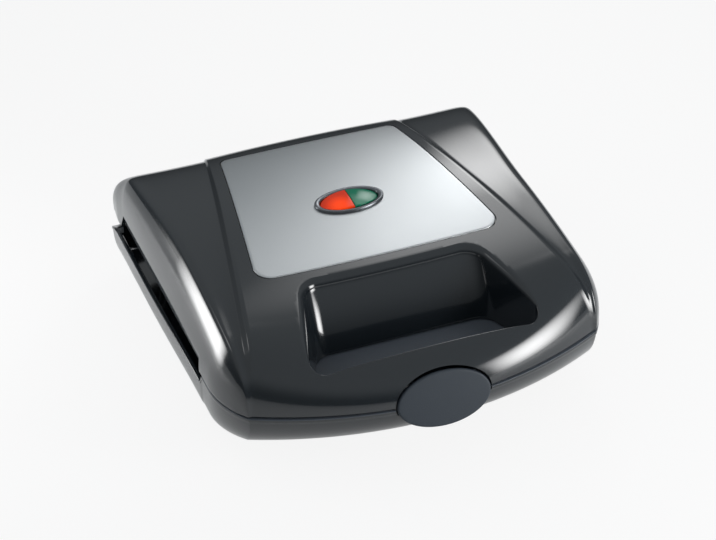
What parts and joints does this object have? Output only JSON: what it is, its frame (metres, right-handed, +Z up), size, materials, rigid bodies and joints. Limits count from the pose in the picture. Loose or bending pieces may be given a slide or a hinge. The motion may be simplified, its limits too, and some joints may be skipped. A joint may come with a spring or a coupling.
{
  "type": "sandwich toaster",
  "caption": "Hinged sandwich toaster with a glossy sculpted lid, satin top plate, oval signal lamp, hand recess and oval front latch.",
  "frame": {"origin": "on the surface the toaster stands on, under the middle of its bounding box, with the hinge at the back", "axes": "+X to the toaster's right as its user sees it, +Y to the hinge at the back, +Z up"},
  "size_m": [0.2328, 0.2632, 0.0885],
  "materials": {
    "black_housing": "glossy moulded plastic",
    "coated_plate": "non-stick coating, satin",
    "heater_sheath": "heat-tinted sheath",
    "bright_sheet": "bright rolled sheet",
    "zinc_screw": "zinc plated",
    "hinge_steel": "turned",
    "foot_rubber": "matte",
    "grommet_rubber": "matte",
    "cream_insulator": "moulded insulator",
    "spring_clip": "pressed strip",
    "ceramic_white": "ceramic",
    "satin_plate": "satin anodised",
    "bezel_chrome": "satin chrome",
    "red_lens": "clear tinted lens",
    "green_lens": "clear tinted lens",
    "lamp_glass": "clear glass",
    "latch_plastic": "satin moulded plastic"
  },
  "bodies": {
    "base": {"lower_housing": "black_housing", "lower_baking_plate": "coated_plate", "lower_heater": "heater_sheath", "lower_reflector": "bright_sheet", "plate_screws": "zinc_screw", "hinge_pins": "hinge_steel", "rubber_feet": "foot_rubber", "cord_grommet": "grommet_rubber", "terminal_block": "cream_insulator", "heater_clips_lower": "spring_clip"},
    "lid": {"upper_housing": "black_housing", "upper_baking_plate": "coated_plate", "upper_heater": "heater_sheath", "upper_reflector": "bright_sheet", "lid_screws": "zinc_screw", "thermostat": "ceramic_white", "thermal_fuse": "ceramic_white", "heater_clips_upper": "spring_clip", "top_plate": "satin_plate", "lamp_bezel": "bezel_chrome", "red_lens": "red_lens", "green_lens": "green_lens", "neon_lamps": "lamp_glass", "lamp_holder": "cream_insulator", "latch_pin": "hinge_steel"},
    "latch": {"latch": "latch_plastic"}
  },
  "joints": [
    {"name": "lid_hinge", "type": "hinge", "parent": "base", "child": "lid", "pos_m": [0, 0.11464, 0.04], "axis": [-1, 0, 0], "range_deg": [0, 100]},
    {"name": "latch_hinge", "type": "hinge", "parent": "lid", "child": "latch", "pos_m": [0, -0.11935, 0.05145], "axis": [-1, 0, 0], "range_deg": [0, 25]}
  ]
}
